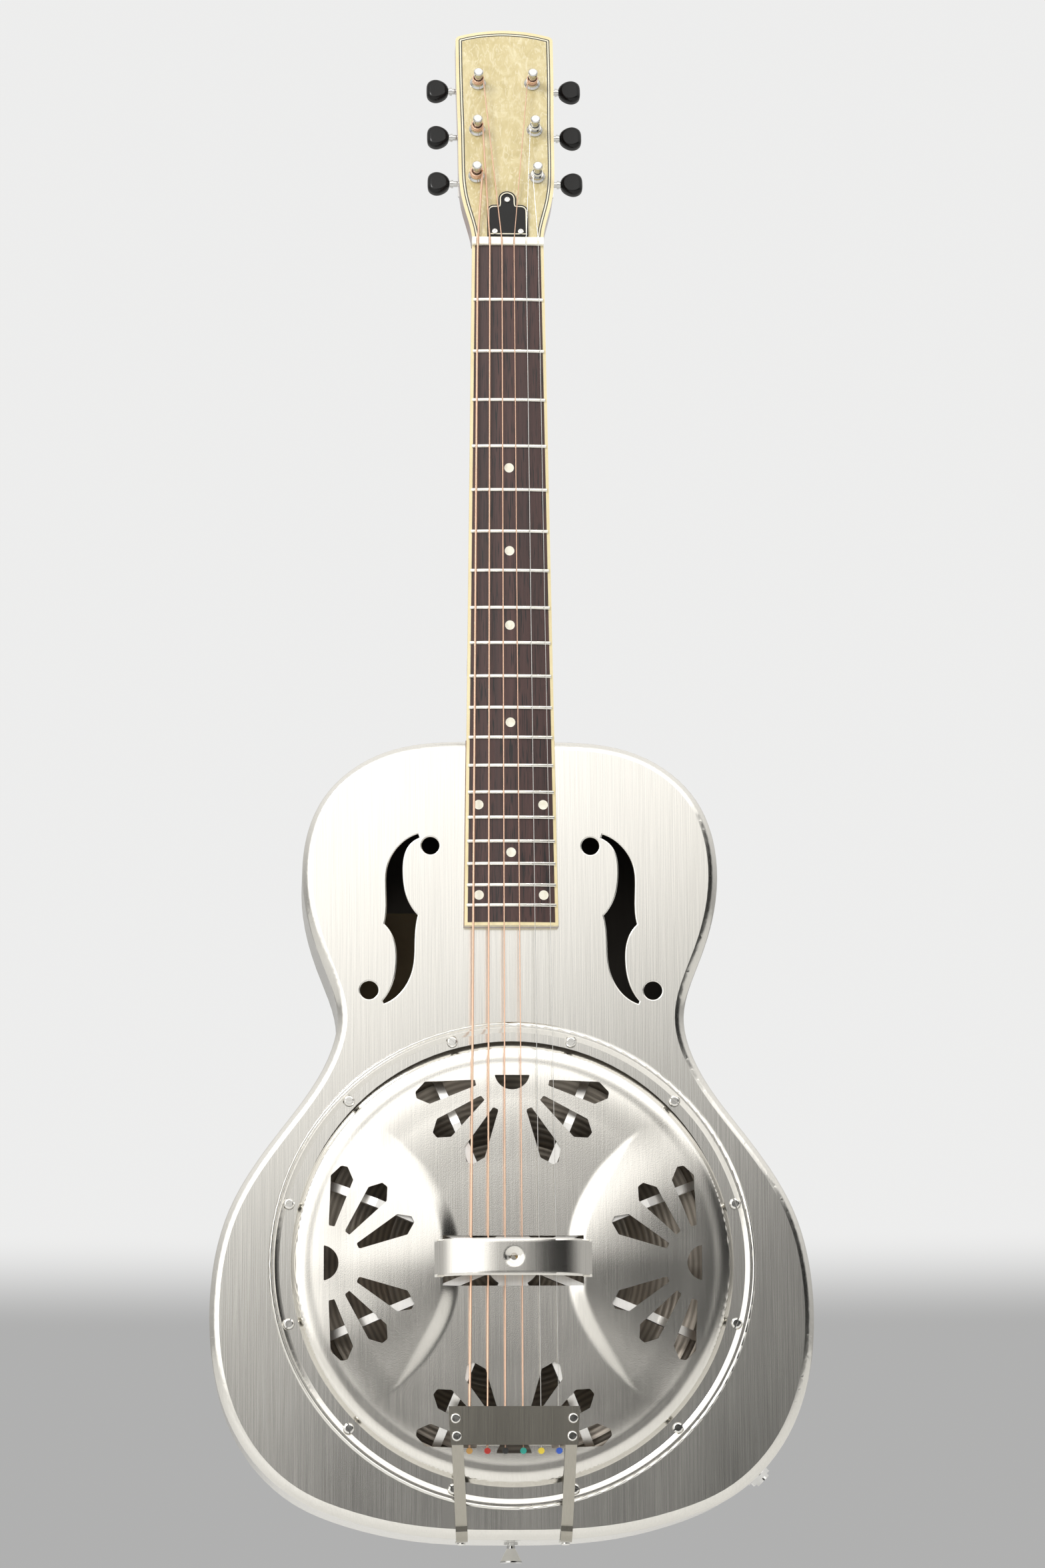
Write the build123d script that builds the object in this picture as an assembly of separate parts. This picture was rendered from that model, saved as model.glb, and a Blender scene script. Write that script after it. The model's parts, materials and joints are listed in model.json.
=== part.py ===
from build123d import *
import os
from math import atan, cos, degrees, pi, radians, sin, sqrt

# A steel-bodied resonator guitar with a round neck and a spider bridge, in millimetres.
# +X is to the right of someone who faces the guitar, -Y is towards that person and +Z runs
# up the neck. The origin is on the centre line at the tail of the body, half way through
# its depth, where a cradle stand holds it.

# ---- body ----
DEPTH = 83.0                 # outside depth of the body
SHEET = 1.2                  # steel sheet
EDGE_R = 6.0                 # rolled edge of the top and the back
PAN_DEPTH = 9.0              # how far the top and the back turn down the side
BODY_LENGTH = 492.5
TOP_Y = -DEPTH / 2
BACK_Y = DEPTH / 2
# Half width of the body at heights above the tail.
OUTLINE = [(28.0, 0.3), (67.0, 3.9), (102.5, 12.5), (131.0, 24.6), (155.3, 44.9), (171.5, 69.6),
           (181.6, 101.0), (184.4, 147.0), (173.6, 199.0),
           (143.0, 248.2), (111.5, 297.0), (106.9, 318.0), (118.0, 357.0), (128.8, 406.0),
           (115.6, 457.2), (82.0, 484.2)]

# ---- sound holes: a long slot between two round holes, on the right side ----
SLOT_TIPS = {"top": (57.3, 433.2), "top_in": (56.7, 431.3), "bottom": (79.0, 328.9), "bottom_in": (78.4, 327.6)}
SLOT_OUT_NOTCH = (77.9, 377.0)
SLOT_IN_NOTCH = (57.8, 382.4)
SLOT_OUT_UPPER = [(68.5, 426.1), (75.7, 413.7), (76.8, 399.4)]
SLOT_OUT_LOWER = [(71.9, 367.4), (70.4, 353.8), (73.5, 337.9)]
SLOT_IN_LOWER = [(69.1, 333.7), (61.4, 347.9), (59.8, 365.4)]
SLOT_IN_UPPER = [(64.8, 394.0), (67.1, 408.7), (64.7, 423.8)]
EYES = [(49.6, 426.1, 5.3), (87.6, 335.6, 5.5)]
RIM_ROLL = 0.9               # rounding of the sheet at the edge of each hole

# ---- resonator ----
PLATE_Z = 166.9              # centre of the cover plate
PLATE_R = 145.2
SADDLE_Z = PLATE_Z + 2.5     # centre of the cone, the spider, the saddle and the hand rest
FLANGE_R = 136.0             # inner edge of the plate's flat flange
DOME_R = 130.5               # foot of the dome
STEP_H = 5.2                 # height of the dome's foot above the body
CREST_H = 11.0               # height of the dome's crown above the body
CHANNEL_H = 6.4              # height of the channel under the strings
CHANNEL_EDGE = [(97.0, 128.0), (70.0, 73.0), (53.0, 38.0), (45.5, 0.0), (53.0, -38.0), (70.0, -73.0),
                (97.0, -128.0)]
PLATE_SHEET = 1.2
PLATE_SCREWS = 12
SCREW_RING_R = 141.2
SCREW_HEAD_R = 3.3
MOON_OFFSET = 115.3          # flat side of each half moon, from the plate's centre
MOON_R = 10.9
MOON_SAGITTA = 9.0
PETAL_STEP = 26.0            # angle from one petal to the next
PETAL_REACH = [(23.0, 1.8), (53.2, 7.0), (60.4, 2.0)]   # distance from the moon, half width
WELL_R = 134.5               # opening in the top, over the cone
CONE_R = 133.3
LEDGE_Y = TOP_Y + 11.5
REST_HALF = 46.0             # half length of the hand rest
REST_WIDTH = 22.7
REST_FOOT_H = 11.2
REST_CROWN_H = 21.5
REST_SHEET = 1.3
REST_FLAT = 30.0
REST_OPEN = 43.0             # half length of the slits above and below the hand rest
REST_SLITS = [(-16.5, -11.35), (11.35, 14.0)]
SPIDER_LEGS = 8

# ---- neck and scale ----
SCALE = 635.0
FRETS = 19
NUT_Z = 810.5                # the nut's playing edge
NUT_THICK = 5.2
BOARD_Y = TOP_Y - 9.0        # playing surface at the centre line
BOARD_THICK = 6.2
BOARD_RADIUS = 305.0
BOARD_END_Z = 374.8
NUT_HALF = 22.6
BOARD_END_HALF = 29.0
BINDING = 1.9
FRET_WIDTH = 2.3
FRET_HEIGHT = 1.1
TANG = (0.6, 1.7)
DOT_R = 3.0
SINGLE_DOTS = (5, 7, 9, 12, 17)
DOUBLE_DOTS = (15, 19)
DOUBLE_DOT_X = 20.0

# ---- head ----
RAKE = 14.0                  # backward rake of the head
HEAD_THICK = 14.5
HEAD_SIDE = [(22.4, -3.0), (24.5, 11.0), (28.6, 28.0), (30.5, 50.0), (30.6, 76.0), (31.2, 112.0), (31.3, 146.0),
             (31.3, 160.0)]
HEAD_CORNER_R = 3.5
CREST_R = 97.4               # radius of the crest's arc
HEAD_CREST = 154.8
OVERLAY = 1.2
HEAD_BINDING = 2.0
PURFLING = (0.65, 0.8, 0.7)
POSTS = [(17.4, 114.7), (18.4, 79.7), (19.3, 45.0)]
POST_R = 3.0
POST_HEIGHT = 14.0
GEAR_TEETH = 18
GEAR_R = 4.9
GEAR_THICK = 3.2
WORM_R = 2.1
MESH_GAP = 0.25
WORM_BACK = 21.5             # depth of the worm's axis behind the head's face
SHAFT_R = 1.9
BUTTON_X = 42.6
BUTTON = (14.2, 15.6, 7.6)   # along the shaft, across it, thickness
BUTTON_EDGE = [(-6.3, 3.5), (-2.8, 6.8), (2.4, 7.8), (6.1, 5.5)]   # half outline from the shaft outwards

# ---- strings ----
STRING_DIA = [1.35, 1.07, 0.81, 0.61, 0.43, 0.33]
STRING_NUT_HALF = 19.1
STRING_END_HALF = 27.2
STRING_NUT_Y = BOARD_Y - 1.9
STRING_SADDLE_Y = TOP_Y - 14.8
STRING_WRAP_H = 7.0          # height of the windings above the head's face
TAIL_TOP_Z, TAIL_LOW_Z = 79.6, 56.3
TAIL_TOP_HALF, TAIL_LOW_HALF = 39.8, 38.4
TAIL_Y = TOP_Y - 12.4        # outer face of the tailpiece plate
TAIL_LIP = 4.6               # depth of its turned-down edges
STRING_TAIL_Y = TOP_Y - 8.6  # height of the strings at the tailpiece
STRAP_WIDTH = 7.0
STRAP_THICK = 1.2

RUN_FIT = 0.05               # radial clearance of a shaft in its hole

HUB_TOP = TOP_Y - 4.2         # top of the spider's hub and legs
HUB_LOW = TOP_Y + 2.0
PICKUP_LOW = TOP_Y - 0.6      # floor of the saddle trough
PICKUP_TOP = PICKUP_LOW - 1.4
LEAD_R = 1.1
LEAD_PATH = [(14.0, PICKUP_LOW, SADDLE_Z), (14.0, -14.0, SADDLE_Z), (24.0, 12.0, 156.0), (62.0, 14.0, 118.0),
             (100.0, 11.0, 84.0), (131.2, 1.5, 60.6)]
PORT_TURN = 21.7             # lines one port up with the lead
JACK_TILT = radians(-44)     # the side's normal where the jack sits
JACK = Plane(origin=(151.5, 0, 41.5), x_dir=(0, 1, 0), z_dir=(cos(JACK_TILT), 0, sin(JACK_TILT)))
JACK_R = 4.7
PLUG_R = 3.2
NECK_DEPTH = 15.5            # wood under the board at the nut
ROD_Y = BOARD_Y + BOARD_THICK + 4.4
ROD_R = 2.5
COVER_SCREWS = [(0.0, 26.6), (-8.2, 3.2), (8.2, 3.2)]
PLATE_T = 1.2                # tuner base plate
PLATE_SCREW_SPOTS = [(-6.6, -5.2), (8.2, -5.2)]
INNER_R = 1.2
WORM_OFFSET = GEAR_R + WORM_R + MESH_GAP
RIVETS = [(35.6, 72.3), (35.0, 61.6)]
LIP_HALF = 30.2
STRAP_TOP_X, STRAP_LOW_X = 34.9, 31.6
TAIL_STRAP_Z = -0.1
STRAP_SCREW_Y = -31.0

HEAD = Plane(origin=(0, BOARD_Y + 0.8, NUT_Z + 5.5), x_dir=(1, 0, 0),
             z_dir=(0, -cos(radians(RAKE)), sin(radians(RAKE))))

ROD_POCKET = Pos(0, 11.0, -5.0) * Box(8.4, 17, 15)


# ---- helpers ----
def box_at(x0, x1, y0, y1, z0, z1):
    return Pos((x0 + x1) / 2, (y0 + y1) / 2, (z0 + z1) / 2) * Box(abs(x1 - x0), abs(y1 - y0), abs(z1 - z0))


def rod_y(radius, y0, y1, x=0.0, z=0.0):
    "A round rod along Y."
    return Pos(x, (y0 + y1) / 2, z) * Rot(90, 0, 0) * Cylinder(radius, abs(y1 - y0))


def rod_x(radius, x0, x1, y, z):
    "A round rod along X."
    return Pos((x0 + x1) / 2, y, z) * Rot(0, 90, 0) * Cylinder(radius, abs(x1 - x0))


def in_xz(points):
    return [(x, 0, z) for x, z in points]


def plate(face, y0, y1):
    "Extrude a face that lies in the plane y = 0, from y0 to y1."
    return Pos(0, y0, 0) * extrude(face, y1 - y0, dir=(0, 1, 0))


def polygon(points):
    return Face(Wire(Polyline(*in_xz(points), close=True).edges()))


def spun(points, z):
    "Revolve a closed profile of (radius, y) about the axis along Y at height z."
    profile = Face(Wire(Polyline(*[(r, y, 0) for r, y in points], close=True).edges()))
    return Pos(0, 0, z) * revolve(profile, Axis.Y, 360)


def board_half(z):
    "Half width of the fretboard at height z."
    return NUT_HALF + (BOARD_END_HALF - NUT_HALF) * (NUT_Z - z) / (NUT_Z - BOARD_END_Z)


def fret_z(n):
    return NUT_Z - SCALE * (1 - 2 ** (-n / 12))


def mirrored(part):
    return mirror(part, Plane.YZ)


# ---- body ----
def moved_in(edge, inset, count):
    "Points along an edge of the plane y = 0, moved to its left by inset."
    points = []
    for k in range(count):
        place, along = edge.position_at(k / count), edge.tangent_at(k / count)
        points.append((place.X - along.Z * inset, 0, place.Z + along.X * inset))
    return points


def outline(inset=0.0):
    "The body's outline as a face in the plane y = 0, pulled in by inset."
    left = [(-x, z) for x, z in reversed(OUTLINE)]
    edge = Spline(*in_xz([(0, 0)] + OUTLINE + [(0, BODY_LENGTH)] + left), periodic=True)
    if inset:
        edge = Spline(*moved_in(edge, inset, 60), periodic=True)
    return Face(Wire([edge]))


def pan():
    "A sheet pan with a rolled edge, open towards +Y, with its face at TOP_Y."
    outer = plate(outline(), TOP_Y, TOP_Y + PAN_DEPTH)
    outer = fillet(outer.faces().sort_by(Axis.Y)[0].edges(), EDGE_R)
    inner = plate(outline(SHEET), TOP_Y + SHEET, TOP_Y + PAN_DEPTH + 1)
    inner = fillet(inner.faces().sort_by(Axis.Y)[0].edges(), EDGE_R - SHEET)
    return outer - inner


def slot_face():
    "The long slot of the right sound hole."
    tips = SLOT_TIPS
    runs = [[tips["top"]] + SLOT_OUT_UPPER + [SLOT_OUT_NOTCH], [SLOT_OUT_NOTCH] + SLOT_OUT_LOWER + [tips["bottom"]],
            [tips["bottom_in"]] + SLOT_IN_LOWER + [SLOT_IN_NOTCH], [SLOT_IN_NOTCH] + SLOT_IN_UPPER + [tips["top_in"]]]
    edges = [Spline(*in_xz(run)) for run in runs]
    edges.append(Line(*in_xz([tips["bottom"], tips["bottom_in"]])))
    edges.append(Line(*in_xz([tips["top_in"], tips["top"]])))
    return Face(Wire(edges))


def sound_hole():
    "The three openings of the right sound hole, as one cutting tool."
    tool = plate(slot_face(), TOP_Y - 1, TOP_Y + SHEET + 1)
    for x, z, r in EYES:
        tool += rod_y(r, TOP_Y - 1, TOP_Y + SHEET + 1, x, z)
    return tool


def body_top():
    hole = sound_hole()
    top = pan() - hole - mirrored(hole)
    rims = [e for e in top.edges() if abs(e.center().Y - TOP_Y) < 0.01 and e.bounding_box().size.Y < 0.01
            and EYES[1][1] - 15 < e.center().Z < EYES[0][1] + 15 and abs(e.center().X) < 100]
    top = fillet(rims, RIM_ROLL)
    top -= rod_y(WELL_R, TOP_Y - 1, TOP_Y + 5, 0, SADDLE_Z)
    bead = Pos(0, TOP_Y + 0.5, PLATE_Z) * Rot(90, 0, 0) * Torus(PLATE_R + 2.6, 1.3)
    top += bead & plate(outline(), TOP_Y - 2, TOP_Y + 0.6)
    for x, z in ring_places():
        top -= rod_y(1.3, TOP_Y - 2, TOP_Y + 4, x, z)
    return top


def ring_places():
    "Where the cover plate's screws stand."
    spots = [radians(15 + i * 360 / PLATE_SCREWS) for i in range(PLATE_SCREWS)]
    return [(SCREW_RING_R * sin(a), PLATE_Z + SCREW_RING_R * cos(a)) for a in spots]



def body_side():
    wall = plate(outline(), TOP_Y + PAN_DEPTH, BACK_Y - PAN_DEPTH)
    wall -= plate(outline(SHEET), TOP_Y, BACK_Y)
    for side in (-1, 1):
        wall -= Pos(side * STRAP_LOW_X, STRAP_SCREW_Y, 0) * Cylinder(1.6, 12)
    return wall - JACK * Cylinder(JACK_R + 0.1, 12) - button_bore()


def body_back():
    return mirror(pan(), Plane.XZ)


def button_bore():
    return Pos(0, 0, 6) * Cylinder(1.5, 20)


def neck_block():
    return fillet(box_at(-31, 31, TOP_Y + SHEET, BACK_Y - SHEET, 428, 486).edges().filter_by(Axis.Y), 3)


def tail_block():
    return box_at(-40, 40, -30, 30, 7.5, 18) - button_bore()


def sound_well():
    "Wooden collar that takes the plate's screws, a ported wall and the ledge under the cone."
    well = spun([(WELL_R, TOP_Y + SHEET), (146.5, TOP_Y + SHEET), (146.5, TOP_Y + 8), (140, TOP_Y + 8),
                 (140, BACK_Y - SHEET), (136, BACK_Y - SHEET), (136, LEDGE_Y + 3), (124, LEDGE_Y + 3),
                 (124, LEDGE_Y), (WELL_R, LEDGE_Y)], SADDLE_Z)
    for i in range(10):
        port = Pos(0, 10, SADDLE_Z) * Rot(0, 36 * i + PORT_TURN, 0) * Pos(0, 0, 138) * Cylinder(15, 12)
        well -= port
    for x, z in ring_places():
        well -= rod_y(1.3, TOP_Y - 2, TOP_Y + 7, x, z)
    return well


def resonator_cone():
    "Spun aluminium bowl with a raised centre, its rim on the well's ledge."
    skin = 1.0
    outer = [(CONE_R, LEDGE_Y - skin), (122.8, LEDGE_Y - skin), (119.0, LEDGE_Y + 3.0), (76.0, -6.0),
             (58.0, -3.0), (42.0, -7.0), (14.0, -21.0), (9.0, -22.0), (1.9, -22.0)]
    inner = [(r, y + skin) for r, y in reversed(outer)]
    cone = spun(outer + inner, SADDLE_Z)
    return cone - rod_y(2.6, -40, 20, LEAD_PATH[0][0], SADDLE_Z)


def spider_bridge():
    "Cast hub with a saddle trough and eight legs that stand on the cone's rim."
    hub = rod_y(17, HUB_TOP, HUB_LOW, 0, SADDLE_Z)
    hub += box_at(-30, 30, HUB_TOP - 2.5, HUB_LOW, SADDLE_Z - 5, SADDLE_Z + 5)
    for i in range(SPIDER_LEGS):
        turn = Pos(0, 0, SADDLE_Z) * Rot(0, i * 360 / SPIDER_LEGS + 22.5, 0)
        leg = Face(Wire(Polyline((0, HUB_TOP, 10), (0, HUB_TOP, 90), (0, LEDGE_Y - 3.0, 130.0),
                                 (0, LEDGE_Y - 1.0, 130.0), (0, LEDGE_Y - 1.0, 126.0), (0, HUB_LOW - 0.5, 86),
                                 (0, HUB_LOW, 10), close=True).edges()))
        hub += turn * Pos(-2.6, 0, 0) * extrude(leg, 5.2, dir=(1, 0, 0))
    hub -= box_at(-28.2, 28.2, HUB_TOP - 5, PICKUP_LOW, SADDLE_Z - 2, SADDLE_Z + 2)
    hub -= rod_y(1.8, -60, 0, 0, SADDLE_Z)
    return hub - rod_y(1.3, PICKUP_LOW - 1, HUB_LOW + 1, LEAD_PATH[0][0], SADDLE_Z)


def saddle():
    "Two maple saddle halves, bass and treble, on the pickup."
    parts = []
    for side in (-1, 1):
        block = box_at(side * 3.9, side * 28, STRING_SADDLE_Y + 0.8, PICKUP_TOP, SADDLE_Z - 2, SADDLE_Z + 2)
        parts.append(block)
    return parts


def piezo_pickup():
    strip = box_at(-28, 28, PICKUP_TOP, PICKUP_LOW, SADDLE_Z - 1.9, SADDLE_Z + 1.9)
    return strip - rod_y(1.8, -60, 0, 0, SADDLE_Z)


def pickup_lead():
    "The lead from the pickup, down through the cone and out through a port to the jack."
    path = FilletPolyline(*LEAD_PATH, radius=9)
    section = Plane(origin=path @ 0, z_dir=path % 0) * Circle(LEAD_R)
    return sweep(section, path=path)


def tension_screw():
    "The screw between the saddle halves that pulls the cone's centre to the spider."
    screw = rod_y(1.6, PICKUP_TOP - 1, -17, 0, SADDLE_Z) + rod_y(1.9, PICKUP_TOP - 3.4, PICKUP_TOP, 0, SADDLE_Z)
    slot = box_at(-2, 2, PICKUP_TOP - 5, PICKUP_TOP - 2.4, SADDLE_Z - 0.3, SADDLE_Z + 0.3)
    return [screw - slot, rod_y(3.4, -21.0, -18.0, 0, SADDLE_Z) - rod_y(1.6, -30, 0, 0, SADDLE_Z)]


# ---- cover plate ----
def dome(inward):
    "The plate's outer volume, or with inward set the hollow under its sheet."
    y = TOP_Y + inward
    base = [(0, TOP_Y + 5), (FLANGE_R - inward, TOP_Y + 5), (FLANGE_R - inward, y - PLATE_SHEET),
            (DOME_R - inward, y - STEP_H), (100, y - 8.2), (70, y - 10.0), (40, y - 10.8), (0, y - CREST_H)]
    return spun(base, PLATE_Z)


def channel(grow, low):
    "The hourglass space under the strings, above the height low."
    right = [(x - grow, PLATE_Z + z) for x, z in CHANNEL_EDGE]
    left = [(-x, z) for x, z in reversed(right)]
    edges = [Spline(*in_xz(right)), Line(*in_xz([right[-1], left[0]])), Spline(*in_xz(left)),
             Line(*in_xz([left[-1], right[0]]))]
    return plate(Face(Wire(edges)), TOP_Y - 30, low)


def sunburst():
    "A half moon and six petals that fan from it towards the plate's centre, for the top group."
    half_chord = sqrt(MOON_SAGITTA * (2 * MOON_R - MOON_SAGITTA))
    flat = PLATE_Z + MOON_OFFSET
    ends = (-half_chord, 0, flat), (half_chord, 0, flat)
    moon = Face(Wire([ThreePointArc(ends[0], (0, 0, flat - MOON_SAGITTA), ends[1]), Line(ends[1], ends[0])]))
    cuts = plate(moon, TOP_Y - 20, TOP_Y + 3)
    profile = [(w, -r) for r, w in PETAL_REACH] + [(-w, -r) for r, w in reversed(PETAL_REACH)]
    petal = plate(polygon(profile), TOP_Y - 20, TOP_Y + 3)
    for k in (-3, -2, -1, 1, 2, 3):
        cuts += Pos(0, 0, flat) * Rot(0, k * PETAL_STEP, 0) * petal
    return cuts


def cover_plate():
    flange = rod_y(PLATE_R, TOP_Y - PLATE_SHEET, TOP_Y, 0, PLATE_Z)
    solid = flange + dome(0) - channel(0, TOP_Y - CHANNEL_H)
    hollow = dome(PLATE_SHEET) - channel(-PLATE_SHEET, TOP_Y - CHANNEL_H + PLATE_SHEET)
    cover = solid - hollow - box_at(-400, 400, TOP_Y, TOP_Y + 40, -50, 500)
    group = sunburst()
    for quarter in range(4):
        cover -= Pos(0, 0, PLATE_Z) * Rot(0, 90 * quarter, 0) * Pos(0, 0, -PLATE_Z) * group
    for low, high in REST_SLITS:
        cover -= box_at(-REST_OPEN, REST_OPEN, TOP_Y - 16, TOP_Y + 3, SADDLE_Z + low, SADDLE_Z + high)
    cover -= box_at(-36, 36, TOP_Y - 16, TOP_Y + 3, SADDLE_Z + REST_SLITS[0][0], SADDLE_Z + REST_SLITS[1][1])
    cover += hand_rest()
    for x, z in ring_places():
        cover -= rod_y(1.6, TOP_Y - 5, TOP_Y + 2, x, z)
    return cover


def hand_rest():
    "The band over the strings, pressed up from the plate between its two crowns."
    def arch(drop):
        foot, crown = TOP_Y - REST_FOOT_H + drop, TOP_Y - REST_CROWN_H + drop
        flat = [(-REST_FLAT, crown, 0), (REST_FLAT, crown, 0)]
        base = TOP_Y - 9.5 + drop
        points = [(-REST_HALF, base, 0), (-REST_HALF, foot, 0)] + flat
        points += [(REST_HALF, foot, 0), (REST_HALF, base, 0)]
        return Face(Wire(Polyline(*points, close=True).edges()))
    band = extrude(arch(0), REST_WIDTH / 2, both=True) - extrude(arch(REST_SHEET), REST_WIDTH, both=True)
    band = Pos(0, 0, SADDLE_Z) * band
    return band - rod_y(2.4, TOP_Y - 30, TOP_Y - 12, 0, SADDLE_Z)


def cover_plate_screws():
    screws = []
    for i, (x, z) in enumerate(ring_places()):
        screws.append(Pos(x, 0, z) * Rot(0, 37 * i, 0) * slotted_screw(TOP_Y - PLATE_SHEET, SCREW_HEAD_R, 6.5))
    return screws


def slotted_screw(seat, head_r, length):
    "A round-headed screw along Y, its head standing out of a seat towards -Y."
    head = rod_y(head_r, seat - 1.7, seat)
    head = fillet(head.faces().sort_by(Axis.Y)[0].edges(), 1.2)
    head -= box_at(-head_r, head_r, seat - 2, seat - 0.9, -0.45, 0.45)
    return head + rod_y(1.25, seat, seat + length)


# ---- neck ----
def neck_section(z, half, depth):
    "A flat-topped D shape across the neck."
    half_oval = Ellipse(half, depth) & Pos(0, depth) * Rectangle(4 * half, 2 * depth)
    return Pos(0, BOARD_Y + BOARD_THICK, z) * half_oval.face()


def head_face(inset=0.0):
    "The head's outline in its own plane, pulled in by inset."
    side = Spline(*HEAD_SIDE)
    right = []
    for k in range(13):
        place, along = side.position_at(k / 12), side.tangent_at(k / 12)
        right.append((place.X - along.Y * inset, place.Y + along.X * inset))
    left = [(-x, y) for x, y in reversed(right)]
    panel = Face(Wire([Spline(*right), Line(right[-1], left[0]), Spline(*left), Line(left[-1], right[0])]))
    panel = Sketch() + panel & Pos(0, HEAD_CREST - CREST_R) * Circle(CREST_R - inset)
    corners = panel.vertices().sort_by(Axis.Y)[-2:]
    return fillet(corners, max(HEAD_CORNER_R - inset, 0.5))


def head_layer(inset, top, bottom):
    "A layer of the head between two depths, from the nut upwards."
    layer = Pos(0, 0, bottom) * extrude(head_face(inset), top - bottom)
    return layer & Pos(0, 100.2, 0) * Box(200, 200, 100)


def neck():
    shaft = loft([neck_section(NUT_Z + 4, board_half(NUT_Z + 4), NECK_DEPTH),
                  neck_section(545, board_half(545), NECK_DEPTH + 4.0)])
    heel = loft([neck_section(545, board_half(545), NECK_DEPTH + 4.0), neck_section(527, 26.6, NECK_DEPTH + 9),
                 neck_section(512, 26.0, 50.0), neck_section(500, 25.0, 68.0),
                 neck_section(BODY_LENGTH + 0.5, 24.5, 74.0)])
    wood = HEAD * head_layer(0, -OVERLAY, -HEAD_THICK)
    part = shaft + heel + wood
    part -= box_at(-40, 40, -90, BOARD_Y + BOARD_THICK, 400, NUT_Z + NUT_THICK)
    for side in (-1, 1):
        for x, w in POSTS:
            part -= HEAD * Pos(side * x, w, -8) * Cylinder(POST_R + 0.6, 30)
            part -= HEAD * Pos(side * x, w, -OVERLAY - 3) * Cylinder(4.3, 6)
            for dx, dw in PLATE_SCREW_SPOTS:
                part -= HEAD * Pos(side * (x + dx), w + dw, -HEAD_THICK) * Cylinder(1.0, 8)
    for x, w in COVER_SCREWS:
        part -= HEAD * Pos(x, w, 0) * Cylinder(1.0, 8)
    part -= Pos(0, ROD_Y, 665) * Cylinder(ROD_R + 0.1, 330)
    return part - HEAD * ROD_POCKET


def truss_rod():
    rod = Pos(0, ROD_Y, 661) * Cylinder(ROD_R, 322)
    return [rod, Pos(0, ROD_Y, 822.0) * extrude(RegularPolygon(3.4, 6), 7)]


def headstock_overlay():
    inset = HEAD_BINDING + sum(PURFLING)
    return drilled(head_layer(inset, 0, -OVERLAY))


def drilled(layer):
    for side in (-1, 1):
        for x, w in POSTS:
            layer -= Pos(side * x, w, 0) * Cylinder(4.35, 10)
    for x, w in COVER_SCREWS:
        layer -= Pos(x, w, 0) * Cylinder(1.0, 10)
    return HEAD * (layer - ROD_POCKET)


def head_ring(outer, inner):
    return head_layer(outer, 0, -OVERLAY) - head_layer(inner, 1, -OVERLAY - 1)


def headstock_binding():
    return HEAD * head_ring(0, HEAD_BINDING)


def headstock_purfling_white():
    start = HEAD_BINDING + PURFLING[0]
    return HEAD * head_ring(start, start + PURFLING[1])


def headstock_purfling_black():
    start = HEAD_BINDING + PURFLING[0] + PURFLING[1]
    return [HEAD * head_ring(HEAD_BINDING, HEAD_BINDING + PURFLING[0]), HEAD * head_ring(start, start + PURFLING[2])]


def cover_shape(inset=0.0):
    "Bell-shaped cover: a rounded box with a small round-headed lobe."
    body = Pos(0, 11.7) * RectangleRounded(26.0 - 2 * inset, 22.6 - 2 * inset, 4.5 - inset)
    foot = Pos(0, 4.2) * Rectangle(26.0 - 2 * inset, 7.6 - 2 * inset)
    lobe = Pos(0, 25.0 - inset / 2) * SlotOverall(16 - 2 * inset, 11.2 - 2 * inset, rotation=90)
    return body + foot + lobe


def truss_rod_cover():
    cover = extrude(cover_shape(), 1.6)
    line = extrude(cover_shape(0.9), 1.6) - extrude(cover_shape(1.5), 1.6)
    cover -= Pos(0, 0, 1.3) * line
    for x, w in COVER_SCREWS:
        cover -= Pos(x, w, 0) * Cylinder(1.0, 8)
    return HEAD * cover


def head_screws():
    "Small screws: three in the cover and two through each tuner's base plate."
    screws = []
    for i, (x, w) in enumerate(COVER_SCREWS):
        screws.append(HEAD * Pos(x, w, 1.6) * Rot(0, 0, 50 * i) * small_screw())
    for side in (-1, 1):
        for x, w in POSTS:
            for dx, dw in PLATE_SCREW_SPOTS:
                spot = Pos(side * (x + dx), w + dw, -HEAD_THICK - PLATE_T) * Rot(180, 0, 0)
                screws.append(HEAD * spot * Rot(0, 0, 40 * x) * small_screw())
    return screws


def small_screw():
    head = Pos(0, 0, 0.5) * Cylinder(1.9, 1.0)
    head = fillet(head.faces().sort_by(Axis.Z)[-1].edges(), 0.6)
    head -= Pos(0, 0, 1.0) * Box(2.4, 0.5, 1.0) + Pos(0, 0, 1.0) * Box(0.5, 2.4, 1.0)
    return head + Pos(0, 0, -2.2) * Cylinder(0.95, 4.4)


# ---- fretboard ----
def camber(extra=0.0):
    "A long drum whose skin is the playing surface, raised by extra."
    return Pos(0, BOARD_Y + BOARD_RADIUS, 600) * Cylinder(BOARD_RADIUS + extra, 700)


def board_prism(inset, low_z):
    top = NUT_Z
    points = [(board_half(top) - inset, top), (board_half(low_z) - inset, low_z),
              (-board_half(low_z) + inset, low_z), (-board_half(top) + inset, top)]
    return plate(polygon(points), BOARD_Y - 2, BOARD_Y + BOARD_THICK)


def fret_slots():
    return [box_at(-40, 40, BOARD_Y - 3, BOARD_Y + TANG[1] + 0.4, fret_z(n) - TANG[0] / 2, fret_z(n) + TANG[0] / 2)
            for n in range(1, FRETS + 1)]


def dot_places():
    spots = [(0, (fret_z(n) + fret_z(n - 1)) / 2) for n in SINGLE_DOTS]
    for n in DOUBLE_DOTS:
        spots += [(side * DOUBLE_DOT_X, (fret_z(n) + fret_z(n - 1)) / 2) for side in (-1, 1)]
    return spots


def fretboard():
    board = board_prism(BINDING, BOARD_END_Z + BINDING) & camber()
    for x, z in dot_places():
        board -= rod_y(DOT_R, BOARD_Y - 3, BOARD_Y + 1.5, x, z)
    for slot in fret_slots():
        board -= slot
    return board


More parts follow.
